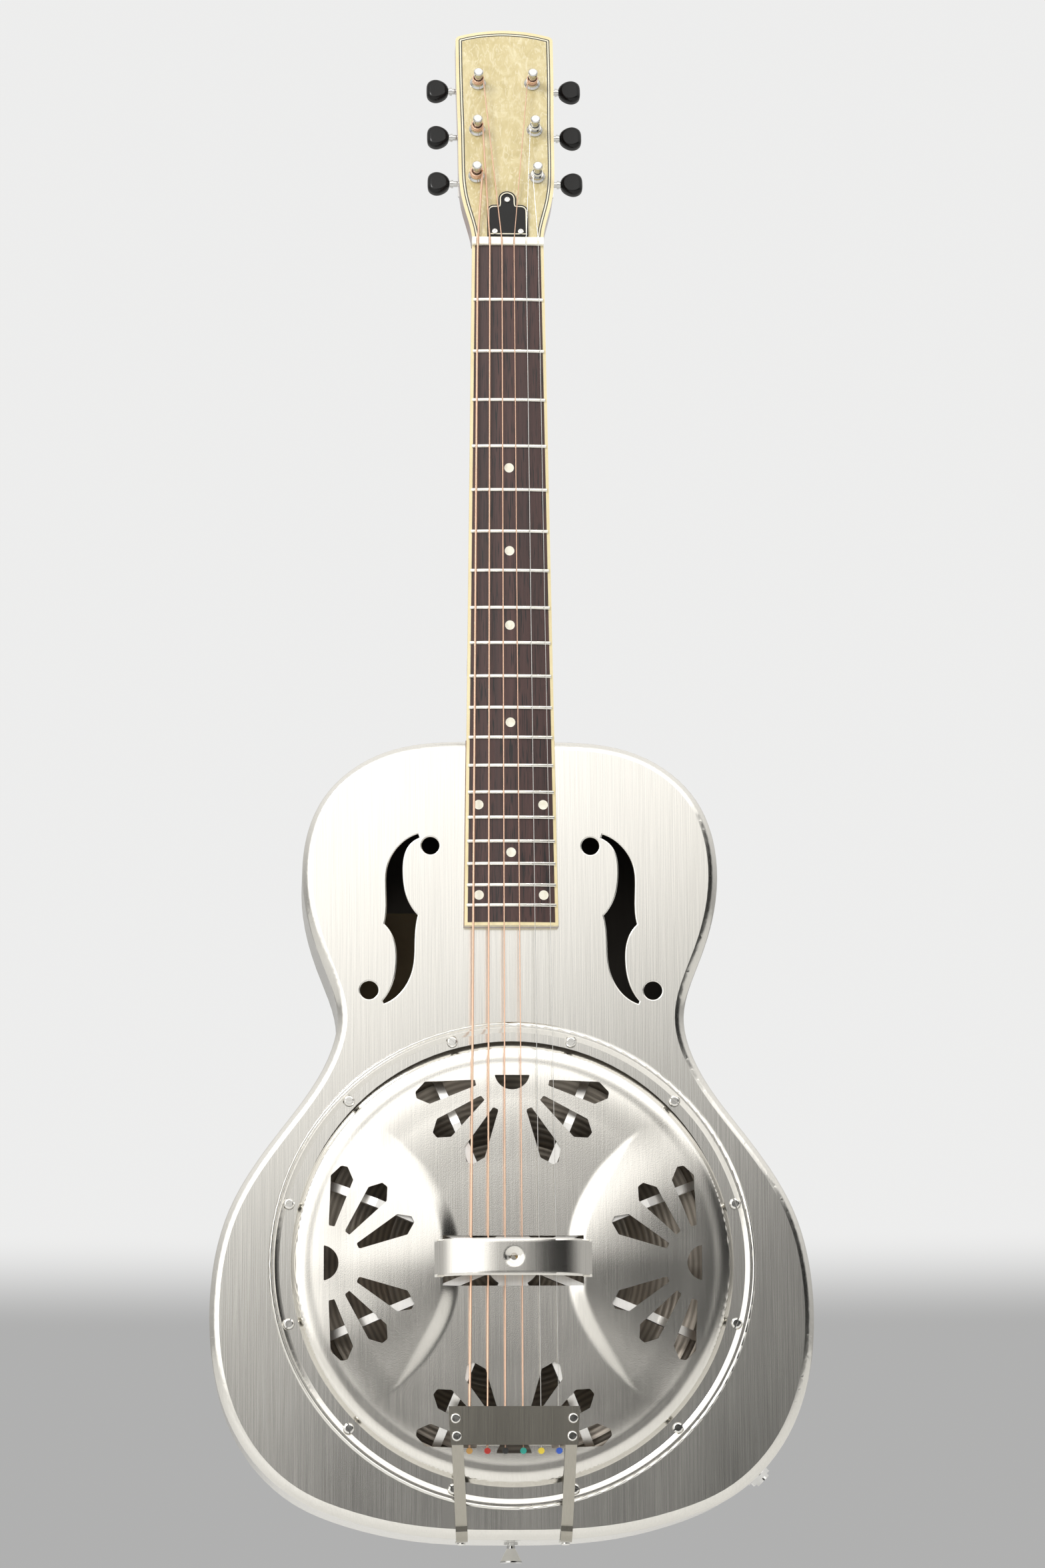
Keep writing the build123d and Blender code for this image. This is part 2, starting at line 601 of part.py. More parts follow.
def fretboard_binding():
    return (board_prism(0, BOARD_END_Z) - board_prism(BINDING, BOARD_END_Z + BINDING)) & camber()


def frets():
    wires = []
    for n in range(1, FRETS + 1):
        z, half = fret_z(n), board_half(fret_z(n)) - 1.2
        bar = box_at(-half, half, BOARD_Y - 3, BOARD_Y + 4, z - FRET_WIDTH / 2, z + FRET_WIDTH / 2)
        bar = (bar & camber(FRET_HEIGHT)) - camber()
        crown = bar.edges().filter_by(GeomType.CIRCLE).sort_by(Axis.Y)[0:2]
        bar = fillet(crown, 0.8)
        tang_half = board_half(z) - BINDING - 0.1
        tang = box_at(-tang_half, tang_half, BOARD_Y - 1, BOARD_Y + TANG[1], z - TANG[0] / 2, z + TANG[0] / 2)
        wires.append(bar + (tang & camber(0.2)))
    return wires


def position_dots():
    return [rod_y(DOT_R, BOARD_Y - 2, BOARD_Y + 1.5, x, z) & camber() for x, z in dot_places()]


def board_spacer():
    "Wooden bed between the body and the part of the board that lies over it."
    low, high = BOARD_END_Z, BODY_LENGTH - 0.5
    points = [(board_half(high) + 0.4, high), (board_half(low) + 0.4, low), (-board_half(low) - 0.4, low),
              (-board_half(high) - 0.4, high)]
    return plate(polygon(points), BOARD_Y + BOARD_THICK, TOP_Y)


def nut():
    block = box_at(-NUT_HALF, NUT_HALF, BOARD_Y - 2.2, BOARD_Y + BOARD_THICK, NUT_Z, NUT_Z + NUT_THICK)
    block = fillet(block.edges().filter_by(Axis.X).sort_by(Axis.Y)[0:2], 1.0)
    for i, dia in enumerate(STRING_DIA):
        x = nut_x(i)
        low = STRING_NUT_Y + dia / 2 + 0.25
        block -= box_at(x - dia / 2 - 0.3, x + dia / 2 + 0.3, STRING_NUT_Y - 3, low, NUT_Z - 2, NUT_Z + 8)
    return block


# ---- strings and tailpiece ----
def nut_x(i):
    return -STRING_NUT_HALF + 2 * STRING_NUT_HALF * i / 5


def tail_x(i):
    return -STRING_END_HALF + 2 * STRING_END_HALF * i / 5


def string_post(i):
    "Post of each string, bass to treble: up the left side and down the right."
    side = -1 if i < 3 else 1
    place = POSTS[2 - i] if i < 3 else POSTS[i - 3]
    return side, place


def string_route(i):
    side, (x, w) = string_post(i)
    wrap = POST_R - 0.5 + STRING_DIA[i] / 2 + 0.35
    start = HEAD.from_local_coords(Vector(side * (x - wrap), w - 2.0, STRING_WRAP_H))
    span = (NUT_Z - SADDLE_Z) / (NUT_Z - TAIL_LOW_Z)
    saddle_x = nut_x(i) + (tail_x(i) - nut_x(i)) * span
    return [start, Vector(nut_x(i), STRING_NUT_Y, NUT_Z + NUT_THICK / 2),
            Vector(saddle_x, STRING_SADDLE_Y, SADDLE_Z), Vector(tail_x(i), STRING_TAIL_Y, TAIL_LOW_Z - 1.4)]


def string(i):
    "From the post over the nut and the saddle to the tailpiece, with small round bends."
    path = FilletPolyline(*string_route(i), radius=3)
    section = Plane(origin=path @ 0, z_dir=path % 0) * Circle(STRING_DIA[i] / 2)
    return sweep(section, path=path)


def wound_strings():
    return [string(i) for i in range(4)]


def plain_strings():
    return [string(i) for i in (4, 5)]


def ball_ends():
    return [rod_y(1.9, STRING_TAIL_Y - 1.6, STRING_TAIL_Y + 1.2, tail_x(i), TAIL_LOW_Z - 3.4) for i in range(6)]


def tailpiece_plate():
    "Bent plate with a rolled lip at its upper edge and a slotted flange that holds the strings."
    points = [(TAIL_TOP_HALF, TAIL_TOP_Z), (TAIL_LOW_HALF, TAIL_LOW_Z), (-TAIL_LOW_HALF, TAIL_LOW_Z),
              (-TAIL_TOP_HALF, TAIL_TOP_Z)]
    body = plate(polygon(points), TAIL_Y, TAIL_Y + 1.4)
    for half, low in ((LIP_HALF + 3, TAIL_TOP_Z - 1.4), (LIP_HALF, TAIL_LOW_Z)):
        body += box_at(-half, half, TAIL_Y, TAIL_Y + TAIL_LIP, low, low + 1.4)
    for i, dia in enumerate(STRING_DIA):
        start, end = string_route(i)[-2:]
        x, half = tail_x(i), dia / 2 + 0.15
        shift = (start.X - end.X) * (TAIL_TOP_Z - TAIL_LOW_Z) / (SADDLE_Z - TAIL_LOW_Z)
        body -= box_at(x - half, x + half, TAIL_Y + 1.6, TAIL_Y + 6, TAIL_LOW_Z - 1, TAIL_LOW_Z + 3)
        body -= box_at(x + shift - half, x + shift + half, TAIL_Y + 1.6, TAIL_Y + 6, TAIL_TOP_Z - 3, TAIL_TOP_Z + 1)
    for side in (-1, 1):
        for x, z in RIVETS:
            body -= rod_y(1.5, TAIL_Y - 2, TAIL_Y + 2, side * x, z)
    return body


def tailpiece_straps():
    "Two flat straps from the plate, over the body's edge and down the tail."
    straps = []
    lean = degrees(atan((STRAP_TOP_X - STRAP_LOW_X) / 65))
    for side in (-1, 1):
        under = TAIL_Y + 1.45 + STRAP_THICK
        path = [(under, 76), (under, 58), (TOP_Y - 1.2, 9.0), (TOP_Y - 1.2, TAIL_STRAP_Z), (-24, TAIL_STRAP_Z)]
        inner = FilletPolyline(*[(0, y, z) for y, z in path], radius=(12, 12, 5))
        strap = Face(inner.offset_2d(STRAP_THICK, side=Side.LEFT, closed=True))
        solid = extrude(strap, STRAP_WIDTH, dir=(1, 0, 0))
        placed = Pos(side * STRAP_TOP_X, 0, 66) * Rot(0, side * lean, 0) * Pos(-STRAP_WIDTH / 2, 0, -66) * solid
        for x, z in RIVETS:
            placed -= rod_y(1.5, TAIL_Y - 2, TAIL_Y + 6, side * x, z)
        placed -= Pos(side * STRAP_LOW_X, STRAP_SCREW_Y, 0) * Cylinder(1.6, 12)
        straps.append(placed)
    return straps


def tailpiece_rivets():
    rivets = []
    for side in (-1, 1):
        for x, z in RIVETS:
            shank = rod_y(1.45, TAIL_Y - 0.2, TAIL_Y + 1.4 + STRAP_THICK + 0.3, side * x, z)
            head = Pos(side * x, TAIL_Y - 0.6, z) * Rot(90, 0, 0) * Cylinder(3.1, 1.2)
            rivets.append(fillet(head.faces().sort_by(Axis.Y)[0].edges(), 0.9) + shank)
    return rivets


def tail_screws():
    "A screw through each strap and the long one through the strap button."
    screws = []
    for side in (-1, 1):
        spot = Pos(side * STRAP_LOW_X, STRAP_SCREW_Y, TAIL_STRAP_Z - STRAP_THICK - 0.1) * Rot(180, 0, 0)
        screws.append(spot * small_screw_long(2.6, 8))
    screws.append(Pos(0, 0, -10.2) * Rot(180, 0, 0) * small_screw_long(2.6, 26))
    return screws


def small_screw_long(head_r, length):
    head = Pos(0, 0, 0.7) * Cylinder(head_r, 1.4)
    head = fillet(head.faces().sort_by(Axis.Z)[-1].edges(), 0.8)
    head -= Pos(0, 0, 1.4) * Box(2 * head_r, 0.7, 1.2)
    return head + Pos(0, 0, -length / 2) * Cylinder(1.45, length)


def strap_button():
    "Flared button on a washer, its wide end away from the body."
    profile = [(1.55, -0.1), (4.4, -0.1), (4.4, -1.2), (2.6, -1.7), (2.6, -3.4), (6.8, -11.2), (6.8, -12.0),
               (3.0, -12.0), (3.0, -10.2), (1.55, -10.2)]
    face = Face(Wire(Polyline(*[(r, 0, z) for r, z in profile], close=True).edges()))
    return revolve(face, Axis.Z, 360)


# ---- jack ----
def jack_bush():
    "Threaded barrel through the side, bored for a quarter-inch plug, with its inner shoulder."
    barrel = Pos(0, 0, -2.5) * Cylinder(JACK_R, 17) + Pos(0, 0, -11.0) * Cylinder(8.0, 14)
    barrel = barrel + Pos(0, 0, -2.5) * Cylinder(JACK_R, 17)
    return JACK * (barrel - Cylinder(PLUG_R, 60))


def jack_nut():
    washer = Pos(0, 0, 1.1) * Cylinder(8.2, 0.8)
    nut_body = Pos(0, 0, 1.55) * extrude(RegularPolygon(7.4, 6), 2.6)
    return [JACK * (washer - Cylinder(JACK_R + 0.05, 30)), JACK * (nut_body - Cylinder(JACK_R + 0.05, 30))]


def inside_label():
    return box_at(-97, -42, BACK_Y - SHEET - 0.4, BACK_Y - SHEET - 0.05, 310, 397)


# ---- tuners ----
def tuner_places():
    "Number, side, x and height of each tuner, in string order."
    return [(i + 1, string_post(i)[0], *string_post(i)[1]) for i in range(6)]


def tuner_bushings():
    profile = [(POST_R + 0.05, 3.4), (3.9, 3.4), (4.0, 2.0), (5.1, 0.9), (5.1, 0.05), (4.2, 0.05), (4.2, -5.5),
               (POST_R + 0.05, -5.5)]
    ring = revolve(Face(Wire(Polyline(*[(r, 0, z) for r, z in profile], close=True).edges())), Axis.Z, 360)
    return [HEAD * Pos(side * x, w, 0) * ring for _, side, x, w in tuner_places()]


def tuner_plates():
    "Base plates behind the head, each with two ears that hold the worm."
    plates = []
    for _, side, x, w in tuner_places():
        top, bottom = -HEAD_THICK, -HEAD_THICK - PLATE_T
        base = Pos(side * (x + 0.8), w + 1.8, (top + bottom) / 2) * Box(21, 19.6, PLATE_T)
        base = fillet(base.edges().filter_by(Axis.Z), 3)
        for dx, hole in ((-8.0, INNER_R), (8.6, SHAFT_R)):
            ear = Pos(side * (x + dx), w + WORM_OFFSET, (bottom - WORM_BACK - 3.2) / 2)
            ear = ear * Box(1.6, 6.4, WORM_BACK + 3.2 + bottom)
            base += ear
            base -= Pos(side * (x + dx), w + WORM_OFFSET, -WORM_BACK) * Rot(0, 90, 0) * Cylinder(hole + RUN_FIT, 4)
        base -= Pos(side * x, w, -HEAD_THICK) * Cylinder(POST_R + RUN_FIT, 8)
        for dx, dw in PLATE_SCREW_SPOTS:
            base -= Pos(side * (x + dx), w + dw, -HEAD_THICK) * Cylinder(1.0, 8)
        plates.append(HEAD * base)
    return plates


def tuner_post(side, x, w):
    "A string post with its waist and string hole, and the toothed wheel on its lower end."
    profile = [(0, POST_HEIGHT), (2.4, POST_HEIGHT), (POST_R, POST_HEIGHT - 0.6), (POST_R, POST_HEIGHT - 3.4),
               (2.5, POST_HEIGHT - 4.6), (2.5, 6.0), (POST_R, 4.8), (POST_R, -WORM_BACK + GEAR_THICK / 2 + 0.4),
               (1.6, -WORM_BACK + GEAR_THICK / 2 + 0.4), (1.6, -WORM_BACK - GEAR_THICK / 2 - 1.2),
               (0, -WORM_BACK - GEAR_THICK / 2 - 1.2)]
    post = revolve(Face(Wire(Polyline(*[(r, 0, z) for r, z in profile], close=True).edges())), Axis.Z, 360)
    post -= Pos(0, 0, 8.4) * Rot(0, 90, 0) * Cylinder(0.9, 12)
    wheel = Pos(0, 0, -WORM_BACK) * Cylinder(GEAR_R, GEAR_THICK)
    for t in range(GEAR_TEETH):
        gap = Rot(0, 0, (t + 0.5) * 360 / GEAR_TEETH) * Pos(GEAR_R + 0.15, 0, -WORM_BACK)
        wheel -= gap * Cylinder(0.5, GEAR_THICK + 1)
    wheel -= Pos(0, 0, -WORM_BACK) * Cylinder(1.6, 10)
    place = HEAD * Pos(side * x, w, 0)
    return [place * post, place * wheel]


def tuner_worm(side, x, w):
    "Worm and shaft in one, with the collar under the button."
    axis = Pos(0, w + WORM_OFFSET, -WORM_BACK) * Rot(0, side * 90, 0)
    shaft = Pos(0, 0, x - 5.0) * Cylinder(INNER_R, 9.0)
    for k in range(6):
        shaft += Pos(0, 0, x - 4.6 + k * 1.85) * Cylinder(WORM_R, 0.95)
    shaft += Pos(0, 0, x) * Cylinder(1.5, 11.0)
    end = BUTTON_X - BUTTON[0] / 2
    shaft += Pos(0, 0, (x + 5.5 + end) / 2) * Cylinder(SHAFT_R, end - x - 5.5)
    shaft += Pos(0, 0, end - 1.6) * Cylinder(2.7, 1.2) + Pos(0, 0, end - 0.5) * Cylinder(2.3, 1.0)
    shaft += Pos(0, 0, end + 4) * Cylinder(1.4, 8.2)
    return HEAD * axis * shaft


def tuner_button(side, x, w):
    "Rounded oval button pressed on the shaft."
    tip = BUTTON[0] / 2
    ring = [(-tip, 0)] + BUTTON_EDGE + [(tip, 0)] + [(u, -v) for u, v in reversed(BUTTON_EDGE)]
    face = Face(Wire([Spline(*[(side * u, v) for u, v in ring], periodic=True)]))
    knob = extrude(face, BUTTON[2] / 2, both=True)
    knob = fillet(knob.faces().filter_by(GeomType.PLANE).edges(), 3.0)
    knob -= Rot(0, 90, 0) * Pos(0, 0, -side * 2.95) * Cylinder(1.42, 8.9)
    return HEAD * Pos(side * BUTTON_X, w + WORM_OFFSET, -WORM_BACK) * knob


def write(name, shape):
    "Write one node; a list becomes a group of separate solids."
    if isinstance(shape, (list, tuple)):
        shape = Compound(children=[s for item in shape for s in item.solids()])
    else:
        solids = shape.solids()
        shape = solids[0] if len(solids) == 1 else Compound(children=solids)
    shape.label = name
    export_step(shape, f"parts/{name}.step")


def main():
    os.makedirs("parts", exist_ok=True)
    makers = [body_top, body_side, body_back, neck_block, tail_block, sound_well, resonator_cone, spider_bridge,
              saddle, piezo_pickup, pickup_lead, tension_screw, cover_plate, cover_plate_screws, neck,
              truss_rod, headstock_overlay, headstock_binding, headstock_purfling_black, headstock_purfling_white,
              truss_rod_cover, head_screws, fretboard, fretboard_binding, frets, position_dots,
              board_spacer, nut, wound_strings, plain_strings, ball_ends, tailpiece_plate, tailpiece_straps,
              tailpiece_rivets, tail_screws, strap_button, jack_bush, jack_nut, inside_label, tuner_bushings,
              tuner_plates]
    for maker in makers:
        write(maker.__name__, maker())
    for number, side, x, w in tuner_places():
        write(f"tuner_post_{number}", tuner_post(side, x, w))
        write(f"tuner_worm_{number}", tuner_worm(side, x, w))
        write(f"tuner_button_{number}", tuner_button(side, x, w))


main()
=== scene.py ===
"""Looks of the resonator guitar: materials, a stamped cover plate, string windings, light and camera."""
import json
import math

import bmesh
import bpy
import numpy as np
from mathutils import Matrix, Vector

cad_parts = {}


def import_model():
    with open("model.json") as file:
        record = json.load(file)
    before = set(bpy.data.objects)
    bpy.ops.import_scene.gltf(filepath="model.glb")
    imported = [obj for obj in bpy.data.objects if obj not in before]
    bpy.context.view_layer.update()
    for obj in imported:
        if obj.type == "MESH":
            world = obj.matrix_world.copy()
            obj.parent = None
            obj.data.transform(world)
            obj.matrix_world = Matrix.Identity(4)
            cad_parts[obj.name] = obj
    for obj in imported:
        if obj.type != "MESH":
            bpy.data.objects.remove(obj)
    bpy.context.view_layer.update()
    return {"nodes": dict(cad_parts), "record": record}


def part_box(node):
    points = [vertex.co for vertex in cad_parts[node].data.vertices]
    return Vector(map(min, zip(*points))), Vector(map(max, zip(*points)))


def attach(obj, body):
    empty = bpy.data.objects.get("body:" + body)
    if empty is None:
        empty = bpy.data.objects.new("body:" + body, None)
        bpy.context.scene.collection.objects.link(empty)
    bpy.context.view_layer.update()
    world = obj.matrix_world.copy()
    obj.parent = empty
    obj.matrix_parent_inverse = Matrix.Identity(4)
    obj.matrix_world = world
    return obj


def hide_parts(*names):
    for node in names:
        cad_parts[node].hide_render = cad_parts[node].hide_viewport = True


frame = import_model()
NODES = frame["nodes"]
MM = 0.001

# ---- places read from the frame ----
PLATE_LOW, PLATE_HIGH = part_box("cover_plate")
PLATE_R = (PLATE_HIGH.x - PLATE_LOW.x) / 2
PLATE_Z = (PLATE_HIGH.z + PLATE_LOW.z) / 2
TOP_Y = PLATE_HIGH.y                          # outer face of the body's top
REST_Y = PLATE_LOW.y                          # crown of the hand rest
SADDLE_LOW, SADDLE_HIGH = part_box("saddle")
SADDLE_Z = (SADDLE_LOW.z + SADDLE_HIGH.z) / 2
HEAD_TILT = math.radians(14)


# ---- material helpers ----
class Maker:
    """A material under construction: a principled shader and short calls that add nodes to it."""

    def __init__(self, name, **inputs):
        self.material = bpy.data.materials.new(name)
        self.material.use_nodes = True
        self.tree = self.material.node_tree
        self.shader = self.tree.nodes["Principled BSDF"]
        self.coords = self.tree.nodes.new("ShaderNodeTexCoord").outputs["Object"]
        for socket, value in inputs.items():
            self.shader.inputs[socket.replace("_", " ")].default_value = value

    def node(self, kind, **settings):
        made = self.tree.nodes.new(kind)
        for key, value in settings.items():
            setattr(made, key, value)
        return made

    def link(self, start, end):
        self.tree.links.new(start, end)

    def stretched(self, scale):
        mapping = self.node("ShaderNodeMapping")
        mapping.inputs["Scale"].default_value = scale
        self.link(self.coords, mapping.inputs["Vector"])
        return mapping.outputs["Vector"]

    def noise(self, scale, detail=4.0, stretch=(1, 1, 1), distortion=0.0, rough=0.5):
        made = self.node("ShaderNodeTexNoise")
        made.inputs["Scale"].default_value = scale
        made.inputs["Detail"].default_value = detail
        made.inputs["Roughness"].default_value = rough
        made.inputs["Distortion"].default_value = distortion
        self.link(self.stretched(stretch), made.inputs["Vector"])
        return made.outputs["Fac"]

    def ramp(self, value, stops, interpolation="LINEAR"):
        made = self.node("ShaderNodeValToRGB")
        made.color_ramp.interpolation = interpolation
        points = made.color_ramp.elements
        while len(points) < len(stops):
            points.new(0.5)
        for point, (place, colour) in zip(points, stops):
            point.position = place
            point.color = (*colour, 1) if len(colour) == 3 else colour
        self.link(value, made.inputs["Fac"])
        return made.outputs["Color"]

    def mix(self, value, first, second, blend="MIX"):
        made = self.node("ShaderNodeMix", data_type="RGBA", blend_type=blend)
        for socket, item in ((0, value), (6, first), (7, second)):
            if isinstance(item, bpy.types.NodeSocket):
                self.link(item, made.inputs[socket])
            elif socket == 0:
                made.inputs[socket].default_value = item
            else:
                made.inputs[socket].default_value = (*item, 1)
        return made.outputs[2]

    def spread(self, value, low, high):
        made = self.node("ShaderNodeMapRange")
        made.inputs["To Min"].default_value = low
        made.inputs["To Max"].default_value = high
        self.link(value, made.inputs["Value"])
        return made.outputs["Result"]

    def colour(self, socket):
        self.link(socket, self.shader.inputs["Base Color"])

    def roughness(self, value, low, high):
        self.link(self.spread(value, low, high), self.shader.inputs["Roughness"])

    def bump(self, heights, distance=0.0002, strength=0.5):
        """Chain one bump per (height, strength scale)."""
        normal = None
        for height, part in heights:
            made = self.node("ShaderNodeBump")
            made.inputs["Strength"].default_value = strength * part
            made.inputs["Distance"].default_value = distance
            self.link(height, made.inputs["Height"])
            if normal is not None:
                self.link(normal, made.inputs["Normal"])
            normal = made.outputs["Normal"]
        self.link(normal, self.shader.inputs["Normal"])


def brushed(name, tint, rough, line, grain, along=(1, 1, 0.012)):
    """Plated sheet brushed lengthwise, with soft cloudy wear, hairlines and small scratches."""
    m = Maker(name, Metallic=1.0)
    hair = m.noise(1500, 3, along, rough=0.6)
    broad = m.noise(160, 2, along)
    cloud = m.noise(14, 3, (1, 1, 0.35))
    low, high = [c * 0.92 for c in tint], [min(1, c * 1.05) for c in tint]
    base = m.ramp(hair, [(0.3, low), (0.7, high)])
    base = m.mix(0.12, base, m.ramp(broad, [(0.35, low), (0.65, high)]))
    base = m.mix(m.spread(cloud, 0.0, 0.2), base, [c * 0.88 for c in tint])
    m.colour(base)
    m.roughness(m.mix(0.7, hair, cloud), rough - 0.04, rough + 0.05)
    speckle = m.noise(1700, 2)
    m.bump([(hair, line), (broad, line * 0.15), (speckle, grain)], 0.00012, 1.0)
    return m.material


def chrome(name, tint=(0.86, 0.86, 0.85), rough=0.07):
    m = Maker(name, Metallic=1.0)
    cloud = m.noise(120, 4)
    m.colour(m.ramp(cloud, [(0.3, [c * 0.9 for c in tint]), (0.75, tint)]))
    m.roughness(m.noise(420, 3), rough * 0.6, rough * 1.7)
    m.bump([(m.noise(260, 2), 0.12)], 0.0001, 1.0)
    return m.material


def wood(name, dark, light, rough, coat, scale=1.0, pore=0.0):
    """Grain along Z: long streaks, finer fibres and, where pore is set, short open pores."""
    m = Maker(name, Coat_Weight=coat, Coat_Roughness=0.08)
    streak = m.noise(70 * scale, 5, (1, 1, 0.05), 0.6)
    fibre = m.noise(520 * scale, 4, (1, 1, 0.02))
    pores = m.noise(1300 * scale, 2, (1, 1, 0.045))
    figure = m.noise(16 * scale, 3, (1, 1, 0.25), 1.2)
    middle = [(a + b) / 2 for a, b in zip(dark, light)]
    base = m.ramp(streak, [(0.28, dark), (0.5, middle), (0.74, light)])
    base = m.mix(0.38, base, m.ramp(fibre, [(0.32, dark), (0.7, light)]))
    base = m.mix(m.spread(figure, 0.0, 0.35), base, dark)
    if pore:
        hole = m.ramp(pores, [(0.36, (1, 1, 1)), (0.44, (0, 0, 0))])
        base = m.mix(hole, base, [c * 0.25 for c in dark])
        m.bump([(pores, 0.5), (fibre, 0.3)], 0.00012, 1.0)
    else:
        m.bump([(fibre, 0.12)], 0.0001, 1.0)
    m.colour(base)
    m.roughness(fibre, rough - 0.06, rough + 0.1)
    return m.material


def plastic(name, tint, shade, rough, coat=0.3, scale=40, grain=0.08, specular=0.5):
    m = Maker(name, Coat_Weight=coat, Coat_Roughness=0.05, Specular_IOR_Level=specular)
    cloud = m.noise(scale, 4, distortion=0.4)
    m.colour(m.ramp(cloud, [(0.3, shade), (0.7, tint)]))
    m.roughness(m.noise(300, 3), rough * 0.75, rough * 1.3)
    m.bump([(m.noise(900, 2), grain)], 0.00006, 1.0)
    return m.material


def pearloid():
    """Cream-yellow plastic with soft pearl clouds and fine brighter streaks."""
    m = Maker("pearloid_look", Coat_Weight=0.6, Coat_Roughness=0.05, Roughness=0.25)
    cloud = m.noise(85, 4, (1, 1, 0.7), 1.4)
    streak = m.noise(330, 4, (1, 1, 0.3), 2.2)
    flake = m.noise(150, 2, (1, 0.6, 1), 3.0)
    base = m.ramp(cloud, [(0.3, (0.48, 0.395, 0.18)), (0.5, (0.57, 0.48, 0.245)), (0.72, (0.66, 0.58, 0.34))])
    bright = m.ramp(streak, [(0.5, (0, 0, 0)), (0.66, (1, 1, 1))])
    base = m.mix(m.spread(bright, 0.0, 0.5), base, (0.82, 0.76, 0.56))
    m.colour(m.mix(m.spread(flake, 0.0, 0.3), base, (0.45, 0.37, 0.17)))
    m.roughness(cloud, 0.18, 0.34)
    m.bump([(m.noise(240, 3), 0.1)], 0.0001, 1.0)
    return m.material


def wound(name, tint, pitch):
    """String wound with round wire: fine rings across it, with painted shade in the grooves between the
    turns.
    """
    m = Maker(name, Metallic=1.0)
    wave = m.node("ShaderNodeTexWave", wave_type="BANDS", bands_direction="Z", wave_profile="SIN")
    wave.inputs["Scale"].default_value = pitch
    wave.inputs["Distortion"].default_value = 0.2
    m.link(m.coords, wave.inputs["Vector"])
    # Painted shade: the colour darkens where the rings' height dips into the grooves between the turns.
    m.colour(m.ramp(wave.outputs["Fac"], [(0.1, [c * 0.66 for c in tint]), (0.6, tint)]))
    m.roughness(m.noise(900, 2), 0.25, 0.42)
    m.bump([(wave.outputs["Fac"], 0.8)], 0.0001, 1.0)
    return m.material


def spun(name, tint, centre, ring):
    """Spun sheet with turning rings about the cone's axis along Y."""
    m = Maker(name, Metallic=1.0)
    mapping = m.node("ShaderNodeMapping", vector_type="TEXTURE")
    mapping.inputs["Location"].default_value = centre
    m.link(m.coords, mapping.inputs["Vector"])
    wave = m.node("ShaderNodeTexWave", wave_type="RINGS", rings_direction="Y", wave_profile="SIN")
    wave.inputs["Scale"].default_value = ring
    wave.inputs["Distortion"].default_value = 0.6
    wave.inputs["Detail"].default_value = 3
    m.link(mapping.outputs[0], wave.inputs["Vector"])
    cloud = m.noise(30, 4)
    base = m.ramp(wave.outputs["Fac"], [(0.1, [c * 0.6 for c in tint]), (0.8, tint)])
    m.colour(m.mix(m.spread(cloud, 0.0, 0.5), base, [c * 0.65 for c in tint]))
    m.roughness(cloud, 0.28, 0.5)
    m.bump([(wave.outputs["Fac"], 0.5)], 0.0002, 1.0)
    return m.material


NICKEL = (0.80, 0.785, 0.745)
LOOKS = {
    "nickel": brushed("nickel_look", NICKEL, 0.155, 0.13, 0.03),
    "nickel_cover": brushed("cover_look", (0.82, 0.80, 0.755), 0.16, 0.1, 0.1),
    "tail_nickel": brushed("tailpiece_look", (0.42, 0.4, 0.35), 0.16, 0.14, 0.04),
    "screw_chrome": chrome("screw_look", (0.84, 0.83, 0.8), 0.1),
    "chrome": chrome("chrome_look", (0.66, 0.66, 0.65)),
    "fret_nickel": chrome("fret_look", (0.87, 0.85, 0.79), 0.12),
    "steel": brushed("steel_look", (0.6, 0.6, 0.59), 0.3, 0.1, 0.05),
    "steel_string": chrome("plain_string_look", (0.85, 0.85, 0.83), 0.16),
    "bronze_string": wound("wound_string_look", (0.95, 0.64, 0.47), 640),
    "brass": chrome("brass_look", (0.83, 0.62, 0.28), 0.2),
    "spun_aluminium": spun("cone_look", (0.47, 0.42, 0.36), (0, 0, SADDLE_Z), 90),
    "cast_aluminium": brushed("spider_look", (0.85, 0.84, 0.82), 0.34, 0.05, 0.2),
    "rosewood": wood("rosewood_look", (0.019, 0.0075, 0.007), (0.1, 0.04, 0.034), 0.4, 0.12, 1.0, 1.0),
    "mahogany": wood("mahogany_look", (0.075, 0.02, 0.009), (0.2, 0.062, 0.026), 0.3, 0.85, 0.8),
    "maple": wood("maple_look", (0.4, 0.25, 0.12), (0.62, 0.44, 0.25), 0.5, 0.0),
    "saddle_maple": wood("saddle_look", (0.42, 0.28, 0.14), (0.66, 0.5, 0.31), 0.45, 0.1),
    "pearloid": pearloid(),
    "cream": plastic("cream_look", (0.80, 0.70, 0.43), (0.71, 0.60, 0.34), 0.25),
    "bone": plastic("bone_look", (1.0, 0.98, 0.88), (0.96, 0.93, 0.79), 0.3, 0.2, 90),
    "pearl_dot": plastic("dot_look", (0.86, 0.84, 0.74), (0.74, 0.71, 0.58), 0.2, 0.5, 300),
    "white_line": plastic("white_line_look", (0.84, 0.80, 0.66), (0.74, 0.69, 0.52), 0.25),
    "black_line": plastic("black_line_look", (0.013, 0.012, 0.011), (0.007, 0.007, 0.007), 0.25),
    "black_gloss": plastic("black_gloss_look", (0.009, 0.009, 0.009), (0.005, 0.005, 0.005), 0.2, 0.0,
                           specular=0.28),
    "cable": plastic("cable_look", (0.02, 0.02, 0.02), (0.012, 0.012, 0.012), 0.55, 0.0),
    "paper": plastic("paper_look", (0.36, 0.27, 0.15), (0.24, 0.17, 0.09), 0.75, 0.0, 25, 0.4),
}


SHARP = 32                                # degrees between faces that meet in a crisp edge


def dress_nodes():
    slots = {item["node"]: item["material_slot"] for item in frame["record"]["subparts"]}
    for name, piece in NODES.items():
        piece.data.materials.clear()
        piece.data.materials.append(LOOKS[slots[name]])
        for face in piece.data.polygons:
            face.use_smooth = True
        piece.data.set_sharp_from_angle(angle=math.radians(SHARP))
